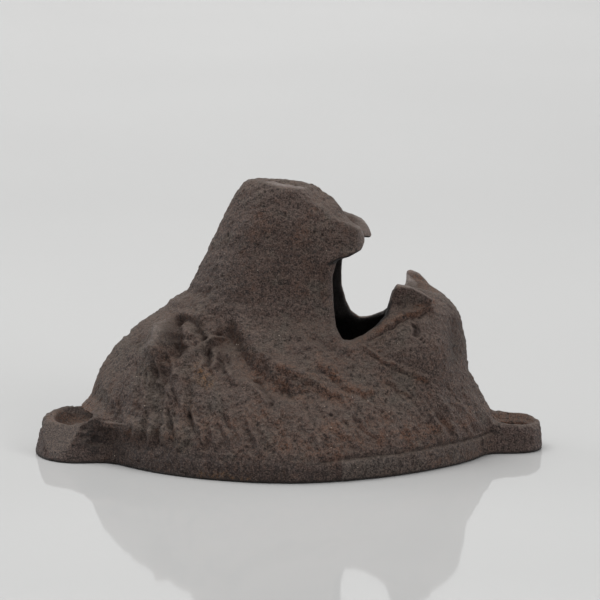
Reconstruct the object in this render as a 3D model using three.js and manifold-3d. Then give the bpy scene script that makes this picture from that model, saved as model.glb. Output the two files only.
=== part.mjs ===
// Wall-mounted cast-iron bottle opener in the shape of a bear's head, with its two wall screws.
// Millimetres. z = 0 is the wall, the snout points along +Z, the crown is at -X and the chin at +X.
import * as THREE from "three";
import { mergeVertices } from "three/addons/utils/BufferGeometryUtils.js";
import Module from "manifold-3d";

const wasm = await Module();
wasm.setup();

// Crown lug: a drafted ring with a dished seat for the larger screw.
const CROWN_X = -47;
const CROWN_FOOT_RADIUS = 10.2;
const CROWN_TOP_RADIUS = 8.4;
const CROWN_WIDENING = 1.18;
const CROWN_HEIGHT = 9;
const CROWN_TOP_TILT = 0.15;
const CROWN_DISH_RADIUS = 6.2;
const CROWN_SEAT_RADIUS = 5;
const CROWN_SEAT_Z = 4.4;

// Chin lug: a low round-ended tab with a smaller seat.
const CHIN_X = 51;
const CHIN_RADIUS = 6.8;
const CHIN_HALF_WIDTH = 7.4;
const CHIN_HEIGHT = 6.6;
const CHIN_DISH_RADIUS = 4.4;
const CHIN_SEAT_Z = 3.3;

// Screws: countersunk heads, one slot each.
const CROWN_SCREW = { x: CROWN_X, headRadius: 4.1, shankRadius: 2.1, length: 32, seat: CROWN_SEAT_Z };
const CHIN_SCREW = { x: CHIN_X, headRadius: 3.6, shankRadius: 1.75, length: 25, seat: CHIN_SEAT_Z };
const SCREW_GAP = 0.35;
const SLOT_WIDTH = 0.9;
const SLOT_DEPTH = 1;
const THREAD_PITCH = 2.4;
const THREAD_DEPTH = 0.5;

// Head: outlines by height, each row [z, left, right, half width, x of the widest point].
const RING_STEPS = 36;
const BAND_HEIGHT = 5;
const SKULL = [
  [0, -43.8, 45.6, 34.3, 0],
  [BAND_HEIGHT, -43.7, 45.4, 34, 0],
  [BAND_HEIGHT + 0.6, -43.8, 45.3, 33.2, 0],
  [9, -44.4, 45, 31.4, 0],
  [13, -44.2, 43.6, 28.4, -1],
  [17.5, -43.2, 42, 25, -2],
  [21.5, -41, 41, 22, -3],
  [25.3, -38.2, 40.6, 18.9, -4],
  [28, -35.3, 38.4, 16.6, -5],
  [30.3, -32.5, 33, 14.4, -6],
  [32.2, -29.6, 27, 11.6, -7],
  [33.8, -26.6, 20, 8.5, -8],
];
const SNOUT = [
  [12, -27, 20, 18, -4],
  [22, -27, 16, 16.4, -4],
  [30, -27, 13.4, 14.8, -4],
  [34.6, -25.4, 12.6, 13.2, -4],
  [36.8, -22.5, 12.4, 12.4, -4],
  [39, -21.5, 12.2, 11.9, -4],
  [44.3, -18.9, 12.6, 10.8, -3],
  [47, -17.6, 13.8, 10.2, -2],
  [50.2, -16.1, 14.2, 9.5, -1.5],
  [53, -14.8, 13, 8.8, -1.5],
  [55.6, -13.5, 11.6, 7.9, -1.5],
  [58, -12.2, 9.8, 6.9, -1.5],
  [59.9, -11.2, 8, 6.1, -1.5],
  [61.4, -10, 5.6, 5.1, -2],
  [62.4, -8.6, 2.6, 4.2, -3],
];
const JAW = [
  [6, 12, 45.4, 22, 22],
  [8.6, 12, 45.6, 21.4, 22],
  [12.8, 12, 43.6, 20.4, 23],
  [18.4, 13, 41.2, 18.6, 24],
  [23.8, 15, 40.6, 16.8, 25],
  [28, 17, 40.2, 15, 26],
  [32.5, 19, 38.8, 12.4, 27],
  [35.1, 20.6, 36, 11, 28],
  [37.4, 22.6, 32.8, 9.4, 28],
];
const SKULL_HOLLOW = [
  [-1, -35.6, 41.4, 30.4, 0],
  [BAND_HEIGHT, -35.8, 41, 30.2, 0],
  [9, -37, 39.8, 27.4, 0],
  [13, -38.6, 38.9, 24.4, -1],
  [17, -37.8, 37.4, 21.4, -2],
  [21, -35.4, 36.8, 18.4, -3],
  [24.8, -32, 35.4, 15.2, -4],
  [27.6, -27.4, 31, 12, -5],
];
const SNOUT_HOLLOW = [
  [14, -22, 13, 13, -4],
  [30, -21.6, 11.4, 11.4, -4],
  [37.8, -17.4, 11.4, 8.8, -3],
  [43.6, -14.6, 11.4, 7.4, -2],
  [51, -11.2, 8.6, 5.4, -2],
  [56, -8.8, 5, 3.8, -2],
];
const JAW_HOLLOW = [
  [6, 8, 39.8, 22, 22],
  [20, 8, 36.9, 15.4, 23],
  [27, 8, 36.4, 12, 24],
  [31.6, 8, 34.6, 9.4, 25],
];
const OUTLINE_POWER = 1.8;

// Mouth: the side view of the gap between the jaws; the far side sits further towards the chin.
const MOUTH_SIDE = [
  [11.3, 44.8],
  [14.4, 46.2],
  [18.6, 48.4],
  [28, 52],
  [26.2, 46],
  [25.4, 39],
  [24, 34.2],
  [21.4, 30.9],
  [18.4, 28.7],
  [15.4, 28.3],
  [13.4, 29.6],
  [12, 32],
  [11, 37],
  [10.7, 41.4],
];
const MOUTH_SKEW = 0.17;

// Teeth and lips: side views of flat plates, each with its middle y and its thickness.
const PLATES = [
  {
    y: -7.6,
    thickness: 3.4,
    side: [[22.8, 33], [23.4, 38.6], [24.4, 39.6], [27.4, 38.8], [31.6, 36.3], [31, 32]],
  },
  {
    y: 6.6,
    thickness: 3.2,
    side: [[26.8, 33], [27.3, 39.8], [30.2, 39.2], [33.2, 36.4], [32.6, 32]],
  },
  {
    y: -5.6,
    thickness: 6.4,
    side: [[6, 51], [10, 54.4], [13.4, 52.6], [16.4, 50], [16, 47], [13, 45.4], [6, 45]],
  },
  {
    y: 4.6,
    thickness: 4.8,
    side: [[7, 51], [11, 54.8], [16.6, 52.4], [19.2, 48.2], [15, 47.6], [11.4, 45], [7, 45]],
  },
];

// Eyes and brows: [x, y, z].
const EYES = [
  [-21.6, -12.6, 28],
  [-21.6, 12.6, 28],
];
const BROWS = [
  [-24, -9.8, 26.8],
  [-24, 9.8, 26.8],
];

function solid(geometry) {
  const plain = new THREE.BufferGeometry();
  const source = geometry.index ? geometry.toNonIndexed() : geometry;
  plain.setAttribute("position", source.getAttribute("position"));
  const merged = mergeVertices(plain, 1e-4);
  const vertProperties = merged.attributes.position.array;
  const triVerts = new Uint32Array(merged.index.array);
  return new wasm.Manifold(new wasm.Mesh({ numProp: 3, vertProperties, triVerts }));
}

function union(solids) {
  return solids.reduce((sum, next) => sum.add(next));
}

function geometryOf(manifold) {
  const mesh = manifold.getMesh();
  const geometry = new THREE.BufferGeometry();
  geometry.setAttribute("position", new THREE.BufferAttribute(mesh.vertProperties, 3));
  geometry.setIndex(new THREE.BufferAttribute(mesh.triVerts, 1));
  return geometry;
}

function signedPower(value, power) {
  return Math.sign(value) * Math.abs(value) ** power;
}

function ringPoint([z, left, right, half, centre], angle) {
  const c = Math.cos(angle);
  const s = Math.sin(angle);
  const reach = c > 0 ? right - centre : centre - left;
  const x = centre + reach * signedPower(c, 2 / OUTLINE_POWER);
  const y = half * signedPower(s, 2 / OUTLINE_POWER);
  return new THREE.Vector3(x, y, z);
}

// A closed solid through a stack of outlines, with fan-shaped ends.
function loft(rows) {
  const points = [];
  for (const row of rows) {
    for (let i = 0; i < RING_STEPS; i += 1) {
      points.push(ringPoint(row, (2 * Math.PI * i) / RING_STEPS));
    }
  }
  const first = rows[0];
  const last = rows[rows.length - 1];
  const foot = points.push(new THREE.Vector3(first[4], 0, first[0])) - 1;
  const crown = points.push(new THREE.Vector3(last[4], 0, last[0])) - 1;
  const faces = [];
  const top = (rows.length - 1) * RING_STEPS;
  for (let i = 0; i < RING_STEPS; i += 1) {
    const j = (i + 1) % RING_STEPS;
    faces.push(foot, j, i);
    faces.push(crown, top + i, top + j);
    for (let k = 0; k < top; k += RING_STEPS) {
      faces.push(k + i, k + j, k + RING_STEPS + j);
      faces.push(k + i, k + RING_STEPS + j, k + RING_STEPS + i);
    }
  }
  const geometry = new THREE.BufferGeometry().setFromPoints(points);
  geometry.setIndex(faces);
  return geometry;
}

// A turned solid on the z axis through x, from [radius, z] pairs that rise and start and end on the axis.
function turned(profile, x, steps) {
  const points = profile.map(([radius, z]) => new THREE.Vector2(radius, z));
  const geometry = new THREE.LatheGeometry(points, steps);
  geometry.rotateX(Math.PI / 2);
  geometry.translate(x, 0, 0);
  return geometry;
}

function crownLug() {
  const body = turned(
    [
      [0, 0],
      [CROWN_FOOT_RADIUS, 0],
      [CROWN_FOOT_RADIUS, 1],
      [CROWN_TOP_RADIUS + 0.4, CROWN_HEIGHT - 0.6],
      [CROWN_TOP_RADIUS, CROWN_HEIGHT],
      [0, CROWN_HEIGHT],
    ],
    0,
    40,
  );
  const position = body.getAttribute("position");
  for (let i = 0; i < position.count; i += 1) {
    if (position.getZ(i) > 2) {
      position.setZ(i, position.getZ(i) + CROWN_TOP_TILT * position.getX(i));
    }
  }
  body.scale(1, CROWN_WIDENING, 1);
  body.translate(CROWN_X, 0, 0);
  return body;
}

function chinLug() {
  const outline = new THREE.Shape();
  outline.moveTo(CHIN_X - 14, -CHIN_HALF_WIDTH - 1);
  outline.lineTo(CHIN_X, -CHIN_HALF_WIDTH);
  outline.absellipse(CHIN_X, 0, CHIN_RADIUS, CHIN_HALF_WIDTH, -Math.PI / 2, Math.PI / 2, false, 0);
  outline.lineTo(CHIN_X - 14, CHIN_HALF_WIDTH + 1);
  outline.closePath();
  const bevel = 0.7;
  const geometry = new THREE.ExtrudeGeometry(outline, {
    depth: CHIN_HEIGHT - bevel,
    bevelThickness: bevel,
    bevelSize: bevel,
    bevelOffset: -bevel,
    bevelSegments: 2,
    curveSegments: 12,
  });
  return solid(geometry).subtract(solid(box(80, 40, 20, CHIN_X, 0, -10)));
}

function box(width, depth, height, x, y, z) {
  const geometry = new THREE.BoxGeometry(width, depth, height);
  geometry.translate(x, y, z);
  return geometry;
}

function mouthGap() {
  const side = new THREE.Shape(MOUTH_SIDE.map(([x, z]) => new THREE.Vector2(x, z)));
  const reach = 40;
  const geometry = new THREE.ExtrudeGeometry(side, { depth: 2 * reach, bevelEnabled: false });
  geometry.translate(0, 0, -reach);
  geometry.rotateX(Math.PI / 2);
  const position = geometry.getAttribute("position");
  for (let i = 0; i < position.count; i += 1) {
    position.setX(i, position.getX(i) + MOUTH_SKEW * position.getY(i));
  }
  return geometry;
}

// A flat plate standing along the x axis, from its side view.
function plate({ y, thickness, side }) {
  const outline = new THREE.Shape(side.map(([x, z]) => new THREE.Vector2(x, z)));
  const geometry = new THREE.ExtrudeGeometry(outline, { depth: thickness, bevelEnabled: false });
  geometry.rotateX(Math.PI / 2);
  geometry.translate(0, y + thickness / 2, 0);
  return solid(geometry);
}

function bump([x, y, z], radius, stretch) {
  const geometry = new THREE.SphereGeometry(radius, 16, 10);
  geometry.scale(stretch, 1, 1);
  geometry.translate(x, y, z);
  return solid(geometry);
}

// The hole that one screw passes through: clearance for the shank, a cone under the head, then the dish.
function screwHole(screw, dishRadius, seatRadius, top) {
  const hole = screw.shankRadius + SCREW_GAP;
  const head = screw.headRadius + SCREW_GAP;
  const coneFoot = screw.seat - (head - hole) - 0.4;
  const profile = [
    [0, -2],
    [hole, -2],
    [hole, coneFoot],
    [head, screw.seat - 0.4],
    [seatRadius, screw.seat - 0.4],
    [dishRadius, top],
    [dishRadius, top + 3],
    [0, top + 3],
  ];
  return solid(turned(profile, screw.x, 32));
}

function headCasting() {
  const outer = union([
    solid(loft(SKULL)),
    solid(loft(SNOUT)),
    solid(loft(JAW)),
    solid(crownLug()),
    chinLug(),
    ...BROWS.map((p) => bump(p, 4.2, 1.4)),
    ...PLATES.map(plate),
  ]);
  const hollow = union([
    solid(loft(SKULL_HOLLOW)),
    solid(loft(SNOUT_HOLLOW)),
    solid(loft(JAW_HOLLOW)),
    solid(mouthGap()),
    screwHole(CROWN_SCREW, CROWN_DISH_RADIUS, CROWN_SEAT_RADIUS, CROWN_HEIGHT),
    screwHole(CHIN_SCREW, CHIN_DISH_RADIUS, CHIN_DISH_RADIUS - 0.2, CHIN_HEIGHT),
  ]);
  const shell = outer.subtract(hollow);
  return geometryOf(union([shell, ...EYES.map((p) => bump(p, 2.2, 1.2))]));
}

// A countersunk wood screw with its head at the seat and its tip in the wall.
function wallScrew(screw) {
  const { headRadius, shankRadius, length, seat, x } = screw;
  const tip = seat - length;
  const shankEnd = seat - length * 0.35;
  const core = shankRadius - THREAD_DEPTH;
  const profile = [[0, tip]];
  for (let z = tip + THREAD_PITCH; z < shankEnd - THREAD_PITCH; z += THREAD_PITCH) {
    profile.push([core * 0.9, z]);
    profile.push([shankRadius, z + THREAD_PITCH / 2]);
  }
  profile.push([core, shankEnd - THREAD_PITCH / 2]);
  profile.push([shankRadius, shankEnd]);
  profile.push([shankRadius, seat - (headRadius - shankRadius) - 0.4]);
  profile.push([headRadius, seat - 0.4]);
  profile.push([headRadius, seat]);
  profile.push([0, seat]);
  const body = solid(turned(profile, x, 18));
  const slot = box(3 * headRadius, SLOT_WIDTH, 2 * SLOT_DEPTH, x, 0, seat);
  return geometryOf(body.subtract(solid(slot)));
}

function named(name, geometry, material) {
  const mesh = new THREE.Mesh(geometry, material);
  mesh.name = name;
  return mesh;
}

const castIron = { color: 0x4a403b, roughness: 0.8, metalness: 0.55 };
const steel = { color: 0x8d8c88, roughness: 0.4, metalness: 0.95 };

const opener = new THREE.Group();
opener.name = "bear_head_opener";
opener.add(named("head_casting", headCasting(), new THREE.MeshStandardMaterial(castIron)));
opener.add(named("crown_screw", wallScrew(CROWN_SCREW), new THREE.MeshStandardMaterial(steel)));
opener.add(named("chin_screw", wallScrew(CHIN_SCREW), new THREE.MeshStandardMaterial(steel)));

export default opener;
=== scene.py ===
import math

import bmesh
import bpy
import numpy as np
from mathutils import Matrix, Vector


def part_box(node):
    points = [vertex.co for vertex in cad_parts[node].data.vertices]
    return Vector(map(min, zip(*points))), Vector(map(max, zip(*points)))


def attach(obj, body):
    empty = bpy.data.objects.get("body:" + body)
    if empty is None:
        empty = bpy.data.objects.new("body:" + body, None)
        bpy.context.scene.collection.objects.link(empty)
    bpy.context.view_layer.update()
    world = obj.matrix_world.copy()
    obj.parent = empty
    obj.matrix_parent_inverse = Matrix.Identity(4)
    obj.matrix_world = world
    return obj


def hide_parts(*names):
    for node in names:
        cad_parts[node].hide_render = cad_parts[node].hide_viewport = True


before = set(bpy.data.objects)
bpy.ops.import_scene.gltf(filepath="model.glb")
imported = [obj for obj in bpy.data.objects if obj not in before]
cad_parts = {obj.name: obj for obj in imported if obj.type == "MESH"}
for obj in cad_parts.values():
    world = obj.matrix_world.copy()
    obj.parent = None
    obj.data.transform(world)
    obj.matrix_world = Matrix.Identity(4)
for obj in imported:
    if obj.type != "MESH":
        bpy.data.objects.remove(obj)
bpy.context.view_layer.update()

# Sculpting is done in millimetres in the CAD frame, then scaled to metres. +Z points out of the wall, +X runs
# from the crown lug to the chin lug, and the near side is -Y.
MM = 0.001
HEAD_VOXEL = 0.45
SCREW_VOXEL = 0.2
HEAD_LOW, HEAD_HIGH = (np.array(corner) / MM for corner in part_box("head_casting"))
CROWN_LOW, CROWN_HIGH = (np.array(corner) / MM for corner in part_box("crown_screw"))
CHIN_LOW, CHIN_HIGH = (np.array(corner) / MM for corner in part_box("chin_screw"))
CROWN_X = float(CROWN_LOW[0] + CROWN_HIGH[0]) / 2
CHIN_X = float(CHIN_LOW[0] + CHIN_HIGH[0]) / 2


# ---------------------------------------------------------------- noise

HASH_PRIMES = (374761393, 668265263, 2147483647, 1274126177)
HASH_MIX = 1103515245
MASK_32 = 0xFFFFFFFF
# Keeps the lattice indices positive.
LATTICE_SHIFT = 1000.0
OCTAVES = 3
OCTAVE_SUM = 1.8


def hashed(ix, iy, iz, seed):
    """A repeatable random number in 0..1 for each lattice point."""
    px, py, pz, ps = HASH_PRIMES
    h = (ix * px + iy * py + iz * pz + seed * ps) & MASK_32
    h = ((h ^ (h >> 13)) * HASH_MIX) & MASK_32
    h = (h ^ (h >> 16)) & MASK_32
    return h / float(MASK_32)


def noise(points, scale, seed):
    """Smooth value noise in -1..1; scale is the feature size, one number or one per axis."""
    p = points / np.asarray(scale, float) + LATTICE_SHIFT
    cell = np.floor(p).astype(np.int64)
    t = p - cell
    t = t * t * t * (t * (t * 6 - 15) + 10)
    total = 0.0
    for dx in (0, 1):
        wx = t[:, 0] if dx else 1 - t[:, 0]
        for dy in (0, 1):
            wy = t[:, 1] if dy else 1 - t[:, 1]
            for dz in (0, 1):
                wz = t[:, 2] if dz else 1 - t[:, 2]
                total = total + wx * wy * wz * hashed(
                    cell[:, 0] + dx, cell[:, 1] + dy, cell[:, 2] + dz, seed)
    return total * 2 - 1


def fractal(points, scale, seed):
    """Octaves of noise, each of half the size and half the weight of the one before."""
    total = 0.0
    weight = 1.0
    size = np.asarray(scale, float)
    for i in range(OCTAVES):
        total = total + weight * noise(points, size, seed + 17 * i)
        weight *= 0.5
        size = size * 0.5
    return total / OCTAVE_SUM


# ---------------------------------------------------------------- solid fields

def smin(a, b, k):
    """Union of two fields, rounded over a width k."""
    h = np.clip(0.5 + 0.5 * (b - a) / k, 0, 1)
    return b + (a - b) * h - k * h * (1 - h)


def smax(a, b, k):
    """Intersection of two fields, rounded over a width k."""
    return -smin(-a, -b, k)


def step(x, lo, hi):
    """0 below lo, 1 above hi, smooth between."""
    t = np.clip((x - lo) / (hi - lo), 0, 1)
    return t * t * (3 - 2 * t)


def curve(z, knots, values):
    """A smooth curve through the knots, flat beyond the ends."""
    knots = np.asarray(knots, float)
    values = np.asarray(values, float)
    slopes = np.gradient(values, knots)
    z = np.clip(z, knots[0], knots[-1])
    i = np.clip(np.searchsorted(knots, z) - 1, 0, len(knots) - 2)
    width = knots[i + 1] - knots[i]
    t = (z - knots[i]) / width
    start = 2 * t**3 - 3 * t**2 + 1
    leave = t**3 - 2 * t**2 + t
    end = -2 * t**3 + 3 * t**2
    arrive = t**3 - t**2
    rise = start * values[i] + leave * width * slopes[i]
    return rise + end * values[i + 1] + arrive * width * slopes[i + 1]


LOFT_TOP_ROUND = 1.6


def loft(X, Y, Z, rows, power):
    """Distance-like field of a stack of superellipses, one for each row."""
    rows = np.asarray(rows, float)
    z = Z[0, 0, :]
    left, right, half, centre = (curve(z, rows[:, 0], rows[:, i])[None, None, :] for i in (1, 2, 3, 4))
    dx = X - centre
    reach = np.where(dx > 0, right - centre, centre - left)
    rho = (np.abs(dx / reach) ** power + np.abs(Y / half) ** power) ** (1 / power)
    r = np.sqrt(dx * dx + Y * Y)
    f = r - r / np.maximum(rho, 1e-4)
    return smax(f, Z - rows[-1, 0], LOFT_TOP_ROUND)


def polygon(px, pz, corners):
    """Signed distance in the side view, negative inside."""
    corners = np.asarray(corners, float)
    best = np.full(px.shape, 1e9)
    sign = np.ones(px.shape)
    for (ax, az), (bx, bz) in zip(corners, np.roll(corners, 1, axis=0)):
        ex, ez = bx - ax, bz - az
        wx, wz = px - ax, pz - az
        t = np.clip((wx * ex + wz * ez) / (ex * ex + ez * ez), 0, 1)
        best = np.minimum(best, (wx - ex * t) ** 2 + (wz - ez * t) ** 2)
        c1 = pz >= az
        c2 = pz < bz
        c3 = ex * wz > ez * wx
        sign = np.where((c1 & c2 & c3) | (~c1 & ~c2 & ~c3), -sign, sign)
    return sign * np.sqrt(best)


# Rows of the lofts: z, left x, right x, half width, widest x.
SKULL = [
    (-1.0, -43.9, 45.6, 34.2, 0), (4.8, -43.8, 45.4, 34.0, 0), (6.5, -43.9, 45.3, 33.0, 0),
    (9.0, -46.6, 45.0, 31.4, 0), (13.0, -44.6, 43.4, 28.4, -1), (17.5, -43.3, 41.0, 25.0, -2),
    (21.5, -41.0, 39.8, 22.0, -3), (25.3, -37.9, 39.4, 18.9, -4), (28.0, -35.2, 37.6, 16.6, -5),
    (30.3, -32.3, 33.0, 14.4, -6), (32.2, -29.5, 27.0, 11.6, -7), (33.8, -26.6, 20.0, 8.5, -8),
]
SNOUT = [
    (12.0, -27.0, 20.0, 18.0, -4), (22.0, -27.0, 19.4, 16.4, -4), (30.0, -27.0, 19.0, 14.6, -4),
    (34.6, -25.2, 18.6, 13.0, -4), (36.8, -22.6, 18.0, 12.2, -4), (39.0, -21.5, 17.6, 11.7, -4),
    (44.3, -18.9, 16.8, 10.6, -3), (47.0, -17.6, 16.2, 10.0, -2), (50.2, -16.1, 14.8, 9.4, -1.5),
    (53.0, -14.8, 13.2, 8.8, -1.5), (55.6, -13.5, 11.9, 7.9, -1.5), (58.0, -12.2, 10.2, 6.9, -1.5),
    (59.9, -11.1, 8.1, 6.1, -1.5), (61.2, -10.0, 6.6, 5.3, -1.5), (62.8, -8.4, 5.2, 4.5, -1.5),
]
JAW = [
    (6.0, 8.0, 45.4, 22.0, 22), (8.6, 8.0, 45.8, 21.4, 22), (12.8, 8.0, 43.5, 20.4, 23),
    (18.4, 8.0, 40.6, 18.6, 24), (23.8, 8.0, 39.8, 16.8, 25), (28.0, 8.0, 39.5, 15.0, 26),
    (32.5, 8.0, 38.1, 12.2, 26), (35.1, 9.0, 35.6, 10.2, 26), (37.4, 10.0, 32.8, 8.2, 26),
    (38.6, 11.0, 30.9, 7.2, 26),
]
SKULL_HOLLOW = [
    (-3.0, -35.6, 41.4, 30.6, 0), (5.0, -35.8, 41.2, 30.2, 0), (9.0, -37.0, 40.4, 27.4, 0),
    (13.0, -39.0, 39.2, 24.4, -1), (17.0, -38.4, 37.4, 21.6, -2), (21.0, -36.2, 36.8, 18.6, -3),
    (24.8, -33.0, 35.6, 15.4, -4), (28.2, -28.4, 31.0, 12.0, -5),
]
SNOUT_HOLLOW = [
    (14.0, -22.0, 14.0, 13.4, -4), (30.0, -21.8, 14.6, 11.8, -4), (37.8, -17.6, 14.8, 9.6, -3),
    (44.0, -14.8, 14.0, 7.8, -2), (50.0, -11.6, 10.4, 5.8, -2), (56.5, -8.6, 5.4, 3.6, -2),
]
JAW_HOLLOW = [
    (6.0, 8.0, 40.2, 22.4, 22), (20.0, 8.0, 37.2, 15.8, 23), (27.0, 8.0, 36.6, 12.4, 24),
    (33.4, 8.0, 33.2, 8.2, 25),
]
# Outlines in the side view, x and z. The gap between the jaws, at its near edge and at its far edge.
NEAR_MOUTH = [
    (10.7, 44.7), (13.8, 45.1), (18.0, 47.3), (28.0, 52.0), (25.0, 45.0), (24.2, 41.4), (23.0, 38.4),
    (22.3, 35.0), (21.4, 32.8), (19.2, 30.6), (16.0, 28.4), (13.6, 27.4), (11.6, 27.7), (10.2, 30.2),
    (9.8, 35.0), (9.6, 41.0),
]
FAR_MOUTH = [
    (12.9, 44.2), (15.0, 45.4), (19.2, 47.8), (29.0, 52.0), (28.0, 45.0), (27.3, 41.5), (27.2, 36.8),
    (25.4, 32.0), (22.6, 29.5), (19.8, 28.5), (17.0, 28.2), (14.9, 30.2), (13.6, 33.2), (12.6, 37.0),
    (12.6, 41.0),
]
# The lower teeth, the bare facet of the far one, and the lips with the upper fangs.
NEAR_TOOTH = [
    (21.0, 31.0), (22.2, 35.0), (23.3, 38.6), (23.9, 39.5), (26.6, 39.2), (29.2, 37.9), (31.8, 36.2),
    (32.0, 31.0),
]
FAR_TOOTH = [(27.3, 33.0), (27.4, 39.6), (28.4, 39.9), (30.3, 39.2), (31.6, 37.9), (33.2, 36.0), (33.0, 32.0)]
TOOTH_FACET = [(26.5, 40.4), (28.4, 38.5), (29.6, 37.5), (29.4, 36.4), (28.0, 36.2), (26.5, 36.8)]
NEAR_LIP = [
    (6.0, 50.0), (9.6, 54.0), (13.2, 52.9), (16.0, 51.6), (16.8, 50.2), (16.9, 48.9), (16.1, 46.9),
    (13.6, 45.6), (11.2, 45.0), (6.0, 45.0),
]
FAR_LIP = [
    (7.0, 51.0), (11.0, 54.6), (13.2, 53.5), (15.4, 52.8), (17.5, 51.8), (18.6, 50.2), (19.3, 48.2),
    (17.4, 48.5), (15.0, 47.8), (12.6, 45.2), (7.0, 45.0),
]


def slab(field, Y, middle, half, k):
    """The part of a side-view field within half a width of the middle."""
    return smax(field, np.abs(Y - middle) - half, k)


CROWN_RIM = 8.9
CHIN_RIM = 6.9
FACET_NORMAL = (-0.565, -0.654, 0.505)
FACET_REACH = 10.5


def crown_facet(X, Y, Z):
    """The flat left by a grinding wheel on the lug's near corner."""
    return FACET_NORMAL[0] * (X - CROWN_X) + FACET_NORMAL[1] * Y + FACET_NORMAL[2] * Z - FACET_REACH


def crown_lug(X, Y, Z):
    """A tapered ellipse around the screw, longer towards the skull, with two ground corners."""
    dx = X - CROWN_X
    dx = np.where(dx > 0, dx * 0.6, dx)
    low = np.clip(Z, 0, 12)
    rho = np.sqrt((dx / (10.3 - 0.2 * low)) ** 2 + (Y / (12.4 - 0.32 * low)) ** 2)
    side = (rho - 1) * 9.5
    top = Z - (CROWN_RIM + 0.12 * np.minimum(X - CROWN_X, 3) + 0.05 * np.maximum(Y, -3))
    body = smax(side, top, 0.5)
    facet = crown_facet(X, Y, Z)
    corner = -0.95 * (X - CROWN_X) - 0.2 * np.abs(Y) + 0.42 * Z - 10.6
    return smax(smax(body, facet, 0.15), corner, 0.5)


def with_screw_seat(bowl, blend, dx, Y, Z, well, bore):
    """Adds a straight well (radius, floor, top) and a countersunk bore (radius, start, rise, top) to a bowl."""
    r = np.sqrt(dx * dx + Y * Y)
    radius, floor, top = well
    straight = smax(smax(r - radius, floor - Z, 0.3), Z - top, 0.3)
    radius, start, rise, top = bore
    cone = smax(r - (radius + np.clip(Z - start, 0, rise)), Z - top, 0.1)
    return smin(smin(bowl, straight, blend), cone, 0.2)


def crown_dish(X, Y, Z, skull):
    """What is cut out for the crown screw; the bowl keeps clear of the skull's wall."""
    floor = 5.4
    dx = X - CROWN_X
    across = np.abs(Y) * np.where(Y < 0, 0.69, 0.64)
    left = np.sqrt(dx * dx * 0.9 + across ** 2)
    right = (np.abs(dx * 0.5) ** 3 + across ** 3) ** (1 / 3)
    bowl = smax(np.where(dx > 0, right, left) - (4.2 + 0.52 * (Z - floor)), floor - Z, 1.0)
    bowl = smax(bowl, Z - 10.2 - np.maximum(-dx, 0), 1.6)
    bowl = smax(bowl, -1.7 - skull, 1.6)
    return with_screw_seat(bowl, 0.5, dx, Y, Z, (4.7, 4.3, 6.5), (2.5, 2.0, 2.2, 6.0))


def chin_lug(X, Y, Z):
    """A rounded tongue that runs back into the chin."""
    dx = np.maximum(X - CHIN_X, 0) + np.minimum(X - (CHIN_X - 12), 0)
    low = np.clip(Z, 0, 10)
    wide = np.abs(Y) / (7.6 - 0.14 * low)
    side = ((np.abs(dx / (7.0 - 0.09 * low)) ** 2.3 + wide ** 2.3) ** (1 / 2.3) - 1) * 6.8
    top = Z - (CHIN_RIM - 0.09 * (X - CHIN_X) + 0.04 * Y)
    return smax(side, top, 1.4)


def chin_dish(X, Y, Z):
    """What is cut out for the chin screw."""
    floor = 5.2
    dx = X - CHIN_X
    r = np.sqrt((dx / 1.2) ** 2 + (Y * 0.86) ** 2)
    scoop = smax(r - (3.7 + 0.75 * (Z - floor)), floor - Z, 0.5)
    scoop = smax(scoop, Z - 8.0, 0.8)
    return with_screw_seat(scoop, 0.4, dx, Y, Z, (3.7, 2.9, 6.2), (2.15, 1.1, 1.55, 5.0))


def gap_between_jaws(x, y, z):
    """The open mouth's side-view field, which shifts from its near outline to its far one."""
    across = step(y, -8.0, 6.5)
    return polygon(x, z, NEAR_MOUTH) * (1 - across) + polygon(x, z, FAR_MOUTH) * across


def muzzle_cuts(X, Y, Z, head):
    """The slope of the upper lip, the flat nose pad with its hollow, and the valley between the lower teeth."""
    crest = curve(X, (-2.0, 3.0, 5.4, 8.8, 13.0, 16.0, 19.0), (62.8, 59.8, 57.3, 55.1, 53.4, 52.0, 48.0))
    head = smax(head, (Z - crest - 0.42 * (Y + 6.5)) * 0.8, 0.4)
    nose_top = Z - (61.4 - 0.11 * X)
    head = smax(head, nose_top, 0.9)
    pad = np.sqrt(((X - 0.8) / 5.4) ** 2 + ((Y + 0.6) / 2.5) ** 2 + ((Z - 62.0 + 0.1 * X) / 1.5) ** 2) - 1
    head = smax(head, -pad * 1.6, 0.3)
    valley = np.sqrt(((Y + 0.6) / 5.2) ** 2 + ((Z - 40.0) / 4.0) ** 2) - 1
    valley = np.maximum(valley * 4.0, np.abs(X - 26.0) - 8.0)
    return smax(head, -valley, 1.0)


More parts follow.
